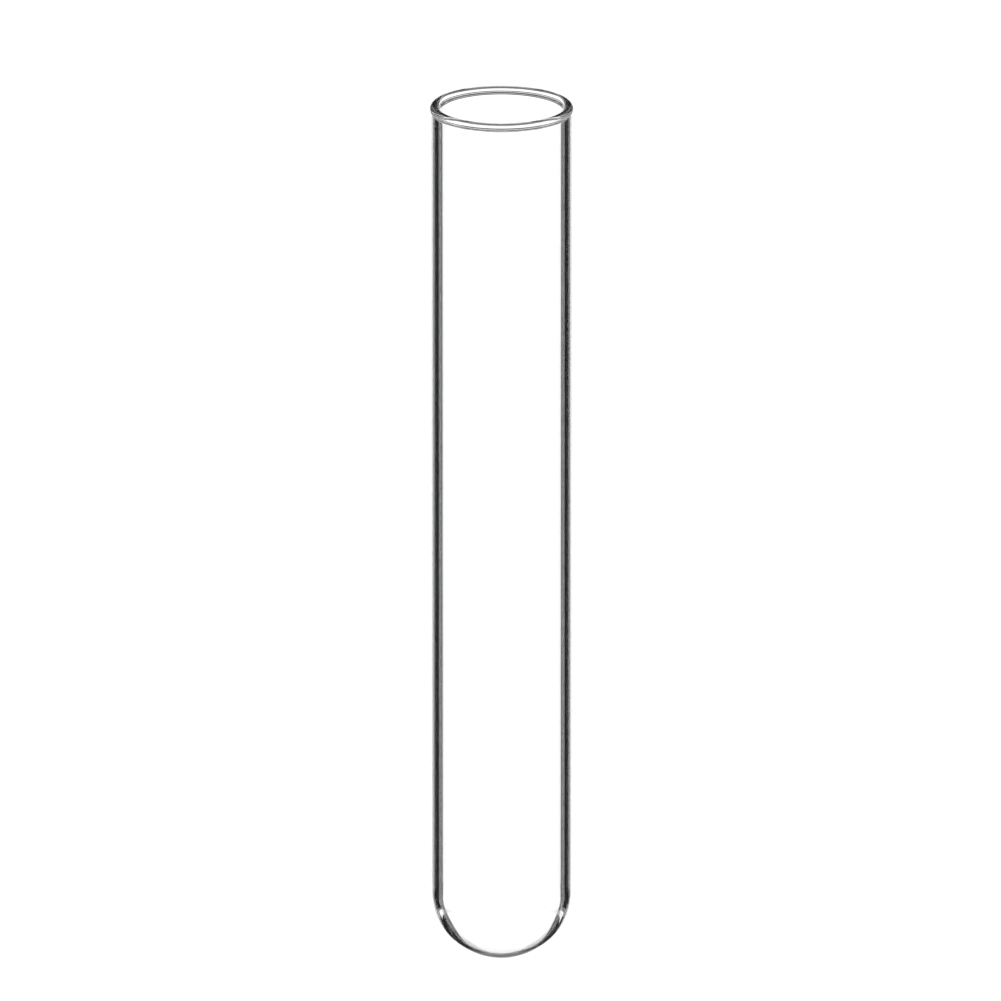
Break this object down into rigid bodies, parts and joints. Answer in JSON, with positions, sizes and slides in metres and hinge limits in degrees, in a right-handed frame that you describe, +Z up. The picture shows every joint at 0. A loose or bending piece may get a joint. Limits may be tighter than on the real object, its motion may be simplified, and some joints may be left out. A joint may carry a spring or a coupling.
{
  "type": "test tube",
  "caption": "Clear glass laboratory test tube: straight thin wall, round closed bottom, open mouth with a small fire-polished bead around the rim.",
  "frame": {"origin": "on the tube's axis, at the lowest point of the outside of the round bottom", "axes": "+Z up the tube's axis, from the round bottom to the open mouth"},
  "size_m": [0.016, 0.016, 0.1],
  "materials": {
    "borosilicate_glass": "polished"
  },
  "bodies": {
    "root": {"glass_tube": "borosilicate_glass"}
  },
  "joints": []
}
